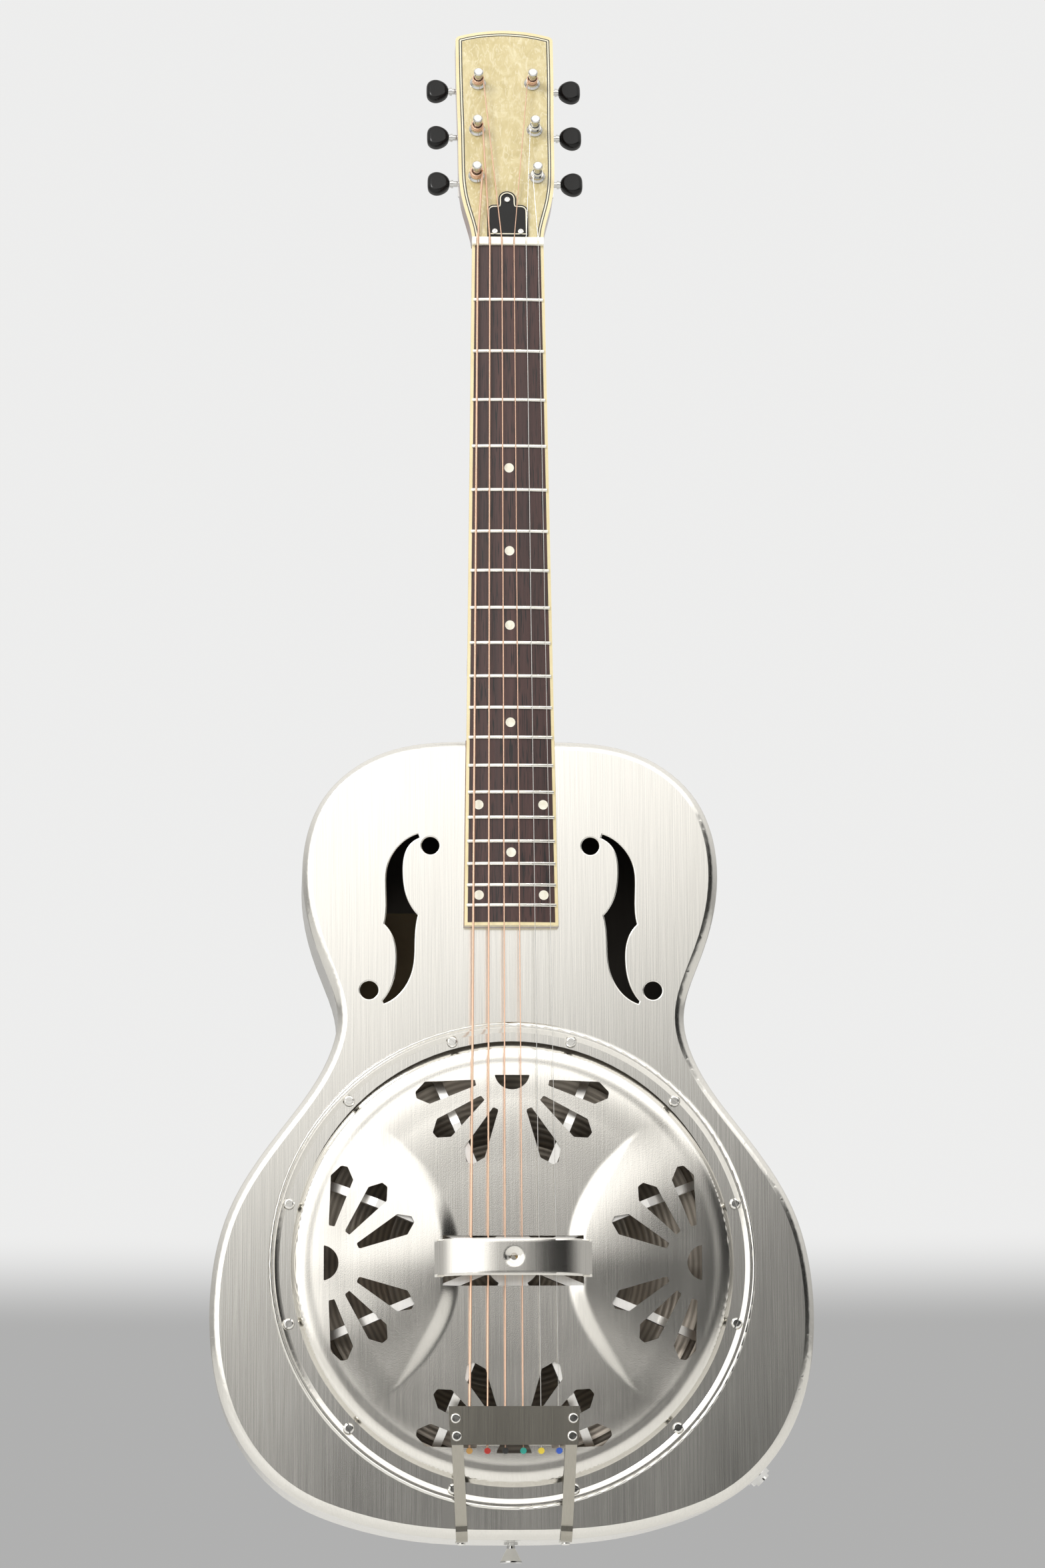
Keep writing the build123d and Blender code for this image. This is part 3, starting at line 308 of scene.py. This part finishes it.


# Painted shade: very dark brushed steel that stands in for the shade inside the body.
INSIDE_PAINTED_SHADE = brushed("painted_shade_inside_look", (0.075, 0.068, 0.06), 0.5, 0.1, 0.1)
BODY_MIDDLE = Vector((0, 0, 0.245))
OUTWARD_SCALE = Vector((1, 4, 0.6))       # the body is shallow and long, so depth counts for most


def paint_inside_shade():
    """Painted shade: bare steel made very dark on the faces of the body shells that look inwards, which are
    unlit.
    """
    for name in ("body_top", "body_side", "body_back"):
        mesh = NODES[name].data
        mesh.materials.append(INSIDE_PAINTED_SHADE)
        for face in mesh.polygons:
            out = face.center - BODY_MIDDLE
            # faces that look inwards take the painted shade
            if face.normal.dot(out * OUTWARD_SCALE) < 0:
                face.material_index = 1


BALL_TINTS = ((0.45, 0.25, 0.07), (0.5, 0.03, 0.02), (0.02, 0.02, 0.02), (0.02, 0.3, 0.24),
              (0.72, 0.55, 0.05), (0.03, 0.1, 0.5))
BALL_SHADE = 0.7


def colour_ball_ends():
    """Each string's ball has its own enamel, from the bass side to the treble side."""
    mesh = NODES["ball_ends"].data
    mesh.materials.clear()
    for number, tint in enumerate(BALL_TINTS):
        mesh.materials.append(plastic("ball_look_%d" % (number + 1), tint,
                                      [c * BALL_SHADE for c in tint], 0.3))
    low, high = min(v.co.x for v in mesh.vertices), max(v.co.x for v in mesh.vertices)
    for face in mesh.polygons:
        share = (face.center.x - low) / (high - low)
        face.material_index = min(len(BALL_TINTS) - 1, int(share * len(BALL_TINTS)))


# ---- string windings and the line inlaid in the rod cover ----
FACE_NORMAL = Vector((0, -math.cos(HEAD_TILT), math.sin(HEAD_TILT)))
FACE_UP = Vector((0, math.sin(HEAD_TILT), math.cos(HEAD_TILT)))
HEAD_AT = Vector((0, -0.0497, 0.816))
POSTS = ((-19.3, 45.0), (-18.4, 79.7), (-17.4, 114.7), (17.4, 114.7), (18.4, 79.7), (19.3, 45.0))
STRING_DIA = (1.35, 1.07, 0.81, 0.61, 0.43, 0.33)
WOUND_COUNT = 4
POST_WAIST, WRAP_TOP, WRAP_LOW = 2.5, 7.0, 2.6     # radius, and heights above the head's face
WRAP_GAP = 0.35                           # between the wire and the post's waist
WRAP_PITCH = 1.04                         # wire diameters from one turn to the next
WRAP_MOST = 5.5                           # turns
TURN_STEPS = 28


def on_head(x, w, h):
    return HEAD_AT + Vector((x, 0, 0)) * MM + FACE_UP * (w * MM) + FACE_NORMAL * (h * MM)


def tube_mesh(name, points, radius, sides=10):
    """Round wire through a list of points."""
    verts, faces = [], []
    for k, point in enumerate(points):
        ahead = points[min(k + 1, len(points) - 1)] - points[max(k - 1, 0)]
        across = ahead.cross(FACE_NORMAL).normalized()
        other = across.cross(ahead).normalized()
        for side in range(sides):
            a = 2 * math.pi * side / sides
            verts.append(point + (across * math.cos(a) + other * math.sin(a)) * radius)
    for k in range(len(points) - 1):
        for side in range(sides):
            nxt = (side + 1) % sides
            faces.append((k * sides + side, k * sides + nxt, (k + 1) * sides + nxt, (k + 1) * sides + side))
    faces.append(tuple(range(sides))[::-1])
    faces.append(tuple((len(points) - 1) * sides + side for side in range(sides)))
    mesh = bpy.data.meshes.new(name)
    mesh.from_pydata([tuple(v) for v in verts], [], faces)
    mesh.update()
    piece = bpy.data.objects.new(name, mesh)
    bpy.context.scene.collection.objects.link(piece)
    return piece


def windings():
    """Each string's turns about its post, close together, from the string down to the bushing."""
    for number, ((x, w), dia) in enumerate(zip(POSTS, STRING_DIA), 1):
        radius = POST_WAIST + dia / 2 + WRAP_GAP
        side = math.copysign(1, x)
        pitch = dia * WRAP_PITCH
        turns = min(WRAP_MOST, (WRAP_TOP - WRAP_LOW) / pitch)
        points = []
        for k in range(int(turns * TURN_STEPS) + 1):
            turn = k / TURN_STEPS
            a = side * 2 * math.pi * turn
            points.append(on_head(x - side * radius * math.cos(a), w + radius * side * math.sin(a),
                                  WRAP_TOP - turn * pitch))
        piece = tube_mesh("winding_%d" % number, points, dia / 2 * MM)
        look = "bronze_string" if number <= WOUND_COUNT else "steel_string"
        finish_piece(piece, look, "post_%d" % number, 60)


LINE_IN, LINE_WIDE = 0.9, 0.65            # distance from the cover's edge, and width
LINE_UP, LINE_DOWN = 0.12, -0.1           # its top and its foot, from the cover's face
LINE_STEP = 0.8
FLAT_WITHIN = 2e-5                        # metres


def front_outline(node):
    """The longest closed outline of a node's flat front face."""
    mesh = NODES[node].data
    top = max(v.co.dot(FACE_NORMAL) for v in mesh.vertices)
    uses = {}
    for face in mesh.polygons:
        if all(top - mesh.vertices[v].co.dot(FACE_NORMAL) < FLAT_WITHIN for v in face.vertices):
            for edge in face.edge_keys:
                uses[edge] = uses.get(edge, 0) + 1
    spots = {}

    def key(v):
        return tuple(round(c, 6) for c in mesh.vertices[v].co)

    links = {}
    for (a, b), count in uses.items():
        if count == 1:
            spots[key(a)], spots[key(b)] = mesh.vertices[a].co.copy(), mesh.vertices[b].co.copy()
            for p, q in ((key(a), key(b)), (key(b), key(a))):
                links.setdefault(p, set()).symmetric_difference_update({q})
    best, seen = [], set()
    for start in links:
        if start in seen:
            continue
        loop, at = [], start
        while at is not None and at not in seen:
            seen.add(at)
            loop.append(spots[at])
            at = next((n for n in links[at] if n not in seen), None)
        if len(loop) > len(best):
            best = loop
    return best


def even_steps(loop, step):
    """The same closed outline with points about one step apart."""
    made = []
    for a, b in zip(loop, loop[1:] + loop[:1]):
        count = max(1, int((b - a).length / step))
        made += [a.lerp(b, k / count) for k in range(count)]
    return made


def cover_line():
    """White line inlaid just inside the edge of the rod cover."""
    loop = even_steps(front_outline("truss_rod_cover"), LINE_STEP * MM)
    centre = sum(loop, Vector()) / len(loop)
    rings = ([], [])
    count = len(loop)
    for k, point in enumerate(loop):
        ahead = loop[(k + 2) % count] - loop[(k - 2) % count]
        inward = ahead.cross(FACE_NORMAL).normalized()
        if inward.dot(centre - point) < 0:
            inward = -inward
        for ring, depth in zip(rings, (LINE_IN, LINE_IN + LINE_WIDE)):
            ring.append(point + inward * (depth * MM))
    verts, faces = [], []
    for lift in (LINE_UP, LINE_DOWN):
        for ring in rings:
            verts += [p + FACE_NORMAL * (lift * MM) for p in ring]
    for k in range(count):
        n = (k + 1) % count
        for a, b in ((0, 1), (1, 3), (3, 2), (2, 0)):
            faces.append((a * count + k, a * count + n, b * count + n, b * count + k))
    mesh = bpy.data.meshes.new("cover_line")
    mesh.from_pydata([tuple(v) for v in verts], [], faces)
    mesh.update()
    shape = bmesh.new()
    shape.from_mesh(mesh)
    bmesh.ops.recalc_face_normals(shape, faces=shape.faces)
    shape.to_mesh(mesh)
    shape.free()
    piece = bpy.data.objects.new("cover_line", mesh)
    bpy.context.scene.collection.objects.link(piece)
    finish_piece(piece, "white_line", "guitar", 30)


# ---- stamped cover plate ----
PETAL_TURNS = (-78, -52, -26, 26, 52, 78)
PETAL = ((23.0, 1.8), (53.2, 7.0), (60.4, 2.0))          # distance from the half moon, half width
MOON_OFFSET, MOON_R, MOON_SAGITTA = 115.3, 10.9, 9.0
DOME = ((0, 6.6), (60, 6.6), (100, 6.4), (122, 5.9), (130.5, 5.3), (132.6, 4.6), (134.3, 1.4), (146, 1.2))
WALL_TOP = ((0, 44.6), (18.5, 44.6), (33.7, 49.5), (47.9, 57.2), (60.9, 64.9), (72.9, 71.5), (80, 75))
WALL_FOOT = ((0, 34.1), (18.5, 34.1), (31.5, 37.4), (45.7, 44.0), (58.8, 52.8), (69.7, 63.8), (80, 74.9))
CHEEK_RISE, CHEEK_LENGTH, CHEEK_FALL = 2.5, 84.0, 92.0
REST_HALF, REST_POWER, REST_REACH = 11.35, 3.4, 47.5
REST_SPRING = 9.4                         # height of the hand rest's ends
REST_EDGE, REST_EDGE_DROP = 1.6, 0.7      # its rounded long edges
ACCESS_R = 2.3                            # hole for the tension screw, in a shallow dimple
DIMPLE_R, DIMPLE_WIDE, DIMPLE_DEEP = 2.2, 3.6, 1.5
SIDE_BLEND = 4.0                          # least width of the hollow's wall
TAIL_FLAT_H = 6.6                         # the plate stays below this under the tailpiece
TAIL_FROM, TAIL_BLEND = 70.0, 16.0
TAIL_HALF, TAIL_SIDE_BLEND = 42.0, 14.0
SLITS = ((-16.5, -REST_HALF), (REST_HALF, 14.0))
SLIT_HALF = 43.0
SHEET = 1.2
GRID = 1.0
TOUCH = 0.01


def smooth(value):
    value = np.clip(value, 0.0, 1.0)
    return value * value * (3 - 2 * value)


def curve_through(points, at):
    """Smooth curve through (place, value) points, evaluated at an array of places."""
    places = np.array([p for p, _ in points], float)
    values = np.array([v for _, v in points], float)
    slopes = np.gradient(values, places)
    at = np.clip(at, places[0], places[-1])
    k = np.clip(np.searchsorted(places, at, side="right") - 1, 0, len(places) - 2)
    step = places[k + 1] - places[k]
    t = (at - places[k]) / step
    return ((2 * t**3 - 3 * t**2 + 1) * values[k] + (t**3 - 2 * t**2 + t) * step * slopes[k]
            + (3 * t**2 - 2 * t**3) * values[k + 1] + (t**3 - t**2) * step * slopes[k + 1])


def plate_height(x, dz):
    """Height of the plate's outer face above the body, in mm, from its own centre."""
    radius = np.hypot(x, dz)
    height = curve_through(DOME, radius)
    reach = np.abs(dz)
    foot, top = curve_through(WALL_FOOT, reach), curve_through(WALL_TOP, reach)
    wide = np.abs(x)
    wall = smooth((wide - foot) / np.maximum(top - foot, SIDE_BLEND))
    cheek = wall * (1 - smooth((wide - top) / CHEEK_FALL))
    height = height + CHEEK_RISE * cheek * (1 - smooth(reach / CHEEK_LENGTH))
    under_tail = smooth((-dz - TAIL_FROM) / TAIL_BLEND) * (1 - smooth((wide - TAIL_HALF) / TAIL_SIDE_BLEND))
    height = height - np.maximum(height - TAIL_FLAT_H, 0) * under_tail
    ds = dz - (SADDLE_Z - PLATE_Z) / MM
    crown = (TOP_Y - REST_Y) / MM
    rise = 1 - np.clip(wide / REST_REACH, 0, 1) ** REST_POWER
    band = (np.abs(ds) <= REST_HALF + TOUCH) & (wide < REST_REACH)
    arch = np.maximum(height, REST_SPRING) * (1 - rise) + crown * rise
    edge = np.clip((REST_HALF - np.abs(ds)) / REST_EDGE, 0, 1)
    arch = arch - REST_EDGE_DROP * (1 - np.sqrt(1 - (1 - edge) ** 2)) * rise
    dimple = 1 - smooth((np.hypot(x, ds) - DIMPLE_R) / DIMPLE_WIDE)
    return np.where(band, arch - DIMPLE_DEEP * dimple, height)


def openings():
    """Outlines of the holes through the plate, in mm from its centre: closed lists of (x, dz)."""
    shapes = []
    half_chord = math.sqrt(MOON_SAGITTA * (2 * MOON_R - MOON_SAGITTA))
    swing = math.asin(half_chord / MOON_R)
    moon = [(MOON_R * math.sin(a), MOON_OFFSET - MOON_SAGITTA + MOON_R - MOON_R * math.cos(a))
            for a in np.linspace(-swing, swing, 17)]
    group = [moon]
    for turn in PETAL_TURNS:
        angle = math.radians(turn)
        ring = [(w, r) for r, w in PETAL] + [(-w, r) for r, w in reversed(PETAL)]
        group.append([(w * math.cos(angle) + r * math.sin(angle),
                       MOON_OFFSET - r * math.cos(angle) + w * math.sin(angle)) for w, r in ring])
    for quarter in range(4):
        c, s = math.cos(quarter * math.pi / 2), math.sin(quarter * math.pi / 2)
        shapes += [[(x * c - z * s, x * s + z * c) for x, z in shape] for shape in group]
    shift = (SADDLE_Z - PLATE_Z) / MM
    for low, high in SLITS:
        shapes.append([(-SLIT_HALF, shift + low), (SLIT_HALF, shift + low), (SLIT_HALF, shift + high),
                       (-SLIT_HALF, shift + high)])
    shapes.append([(ACCESS_R * math.cos(a), shift + ACCESS_R * math.sin(a))
                   for a in np.linspace(0, 2 * math.pi, 24)[:-1]])
    return shapes


def inside_of(shape, x, z):
    """Whether points lie inside a closed outline, by counting crossings."""
    found = np.zeros(x.shape, bool)
    for (x0, z0), (x1, z1) in zip(shape, shape[1:] + shape[:1]):
        if z0 == z1:
            continue
        crossing = ((z0 > z) != (z1 > z)) & (x < (x1 - x0) * (z - z0) / (z1 - z0) + x0)
        found ^= crossing
    return found


def nearest_on(shape, x, z):
    best_x, best_z, best = x.copy(), z.copy(), np.full(x.shape, 1e9)
    for (x0, z0), (x1, z1) in zip(shape, shape[1:] + shape[:1]):
        dx, dz = x1 - x0, z1 - z0
        t = np.clip(((x - x0) * dx + (z - z0) * dz) / (dx * dx + dz * dz), 0, 1)
        px, pz = x0 + t * dx, z0 + t * dz
        gap = np.hypot(px - x, pz - z)
        near = gap < best
        best_x[near], best_z[near], best[near] = px[near], pz[near], gap[near]
    return best_x, best_z


def stamped_plate():
    """The plate as one pressed sheet: a fine grid, cut and snapped to its openings, then given thickness."""
    radius = PLATE_R / MM
    count = int(math.ceil(radius / GRID)) + 1
    line = np.arange(-count, count + 1) * GRID
    gx, gz = (a.ravel() for a in np.meshgrid(line, line, indexing="ij"))
    side = len(line)
    i, j = (a.ravel() for a in np.meshgrid(np.arange(side - 1), np.arange(side - 1), indexing="ij"))
    quads = np.stack([i * side + j, (i + 1) * side + j, (i + 1) * side + j + 1, i * side + j + 1], 1)
    middle_x, middle_z = gx[quads].mean(1), gz[quads].mean(1)
    keep = np.hypot(middle_x, middle_z) < radius
    owner = np.full(len(quads), -1)
    shapes = openings()
    for number, shape in enumerate(shapes):
        owner[inside_of(shape, middle_x, middle_z)] = number
    keep &= owner < 0
    kept = np.zeros(len(gx), bool)
    kept[quads[keep].ravel()] = True
    for number, shape in enumerate(shapes):
        rim = np.zeros(len(gx), bool)
        rim[quads[owner == number].ravel()] = True
        rim &= kept
        gx[rim], gz[rim] = nearest_on(shape, gx[rim], gz[rim])
    outside = np.zeros(len(gx), bool)
    outside[quads[np.hypot(middle_x, middle_z) >= radius].ravel()] = True
    outside &= kept
    reach = np.hypot(gx[outside], gz[outside])
    gx[outside], gz[outside] = gx[outside] * radius / reach, gz[outside] * radius / reach
    place = np.cumsum(kept) - 1
    height = plate_height(gx, gz)
    points = np.stack([gx * MM, TOP_Y - height * MM, PLATE_Z + gz * MM], 1)[kept]
    mesh = bpy.data.meshes.new("cover_skin")
    mesh.from_pydata(points.tolist(), [], place[quads[keep]].tolist())
    mesh.update()
    piece = bpy.data.objects.new("cover_skin", mesh)
    bpy.context.scene.collection.objects.link(piece)
    thick = piece.modifiers.new("thick", "SOLIDIFY")
    thick.thickness = SHEET * MM
    thick.offset = 1.0 if mesh.polygons[0].normal.y > 0 else -1.0
    apply_modifiers(piece)
    finish_piece(piece, "nickel_cover", "guitar", 28)
    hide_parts("cover_plate")


def apply_modifiers(piece):
    graph = bpy.context.evaluated_depsgraph_get()
    shown = bpy.data.meshes.new_from_object(piece.evaluated_get(graph))
    piece.modifiers.clear()
    piece.data = shown


def finish_piece(piece, look, body, angle=40):
    piece.data.materials.clear()
    piece.data.materials.append(LOOKS[look])
    for face in piece.data.polygons:
        face.use_smooth = True
    piece.data.set_sharp_from_angle(angle=math.radians(angle))
    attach(piece, body)


# ---- camera, light and stage ----
CAMERA_AT = Vector((-0.150, -3.1505, -0.1395))
PITCH, YAW, ROLL = math.radians(10.992), math.radians(2.904), math.radians(-0.3348)
LENS, SENSOR_HEIGHT = 78.105, 24
FAR = 50
KEY_AT, KEY_TO, KEY_SIZE, KEY_POWER = (-1.5, -2.2, 2.3), (0, 0, 0.45), (0.9, 0.9), 38


def camera():
    forward = Vector((math.sin(YAW) * math.cos(PITCH), math.cos(YAW) * math.cos(PITCH), math.sin(PITCH)))
    level = Vector((math.cos(YAW), -math.sin(YAW), 0))
    upright = level.cross(forward)
    right = math.cos(ROLL) * level + math.sin(ROLL) * upright
    up = -math.sin(ROLL) * level + math.cos(ROLL) * upright
    data = bpy.data.cameras.new("camera")
    data.sensor_fit = "VERTICAL"
    data.sensor_height = SENSOR_HEIGHT
    data.lens = LENS
    data.clip_end = FAR
    data.dof.use_dof = False
    item = bpy.data.objects.new("camera", data)
    turn = Matrix((right, up, -forward)).transposed().to_4x4()
    item.matrix_world = Matrix.Translation(CAMERA_AT) @ turn
    bpy.context.scene.collection.objects.link(item)
    bpy.context.scene.camera = item


def area(name, place, target, size, power):
    data = bpy.data.lights.new(name, "AREA")
    data.shape = "RECTANGLE"
    data.size, data.size_y = size
    data.energy = power
    item = bpy.data.objects.new(name, data)
    item.location = place
    item.rotation_euler = (Vector(target) - Vector(place)).to_track_quat("-Z", "Y").to_euler()
    bpy.context.scene.collection.objects.link(item)


FRONT_SLANT = 0.5                         # how far the front's bright edge leans to one side
FRONT_EDGE = (0.042, 0.2)                 # heights between which the front turns from dim to bright
FRONT_DIM, FRONT_BRIGHT = 0.0, 1.8
FRONT_REACH = (0.35, 0.8)                 # how squarely a direction faces the front
SURROUND_EDGE, SURROUND = (-0.5, 0.85), (0.08, 1.05)
BACKDROP = ((0.085, 0.435), (0.104, 0.85))        # two heights, each with its strength


def world():
    """Soft surroundings: pale all round, with the space low and right in front of the face kept dim."""
    made = bpy.data.worlds.new("studio")
    made.use_nodes = True
    tree = made.node_tree
    tree.nodes.clear()

    def node(kind, **settings):
        item = tree.nodes.new(kind)
        for key, value in settings.items():
            setattr(item, key, value)
        return item

    def math_node(operation, *values):
        item = node("ShaderNodeMath", operation=operation)
        for socket, value in zip(item.inputs, values):
            if isinstance(value, bpy.types.NodeSocket):
                tree.links.new(value, socket)
            else:
                socket.default_value = value
        return item.outputs[0]

    def eased(value, reach, result):
        item = node("ShaderNodeMapRange", interpolation_type="SMOOTHSTEP")
        for socket, number in zip(("From Min", "From Max", "To Min", "To Max"), (*reach, *result)):
            item.inputs[socket].default_value = number
        tree.links.new(value, item.inputs["Value"])
        return item.outputs["Result"]

    coords = node("ShaderNodeTexCoord")
    parts = node("ShaderNodeSeparateXYZ")
    tree.links.new(coords.outputs["Generated"], parts.inputs[0])
    x, y, z = parts.outputs
    step = eased(math_node("SUBTRACT", z, math_node("MULTIPLY", x, FRONT_SLANT)), FRONT_EDGE,
                 (FRONT_DIM, FRONT_BRIGHT))
    around = eased(z, SURROUND_EDGE, SURROUND)
    front = eased(math_node("MULTIPLY", y, -1.0), FRONT_REACH, (0.0, 1.0))
    blend = node("ShaderNodeMix", data_type="FLOAT")
    tree.links.new(front, blend.inputs[0])
    tree.links.new(around, blend.inputs[2])
    tree.links.new(step, blend.inputs[3])
    light = node("ShaderNodeBackground")
    light.inputs["Color"].default_value = (1.0, 0.985, 0.955, 1)
    tree.links.new(blend.outputs[0], light.inputs["Strength"])
    backdrop = node("ShaderNodeBackground")
    backdrop.inputs["Color"].default_value = (1.0, 1.0, 0.995, 1)
    (low, dark), (high, pale) = BACKDROP
    tree.links.new(eased(z, (low, high), (dark, pale)), backdrop.inputs["Strength"])
    path = node("ShaderNodeLightPath")
    choose = node("ShaderNodeMixShader")
    tree.links.new(path.outputs["Is Camera Ray"], choose.inputs[0])
    tree.links.new(light.outputs[0], choose.inputs[1])
    tree.links.new(backdrop.outputs[0], choose.inputs[2])
    tree.links.new(choose.outputs[0], node("ShaderNodeOutputWorld").inputs[0])
    bpy.context.scene.world = made


FLOOR_Z, FLOOR_REACH = -0.42, 30.0


def floor():
    mesh = bpy.data.meshes.new("floor")
    corners = ((-1, -1), (1, -1), (1, 1), (-1, 1))
    mesh.from_pydata([(x * FLOOR_REACH, y * FLOOR_REACH, FLOOR_Z) for x, y in corners], [], [(0, 1, 2, 3)])
    piece = bpy.data.objects.new("floor", mesh)
    bpy.context.scene.collection.objects.link(piece)
    piece.data.materials.append(plastic("floor_look", (0.74, 0.74, 0.73), (0.7, 0.7, 0.69), 0.6, 0.0, 3))


bpy.context.scene.view_settings.view_transform = "Standard"
dress_nodes()
paint_inside_shade()
colour_ball_ends()
windings()
cover_line()
stamped_plate()
camera()
world()
area("key", KEY_AT, KEY_TO, KEY_SIZE, KEY_POWER)
floor()
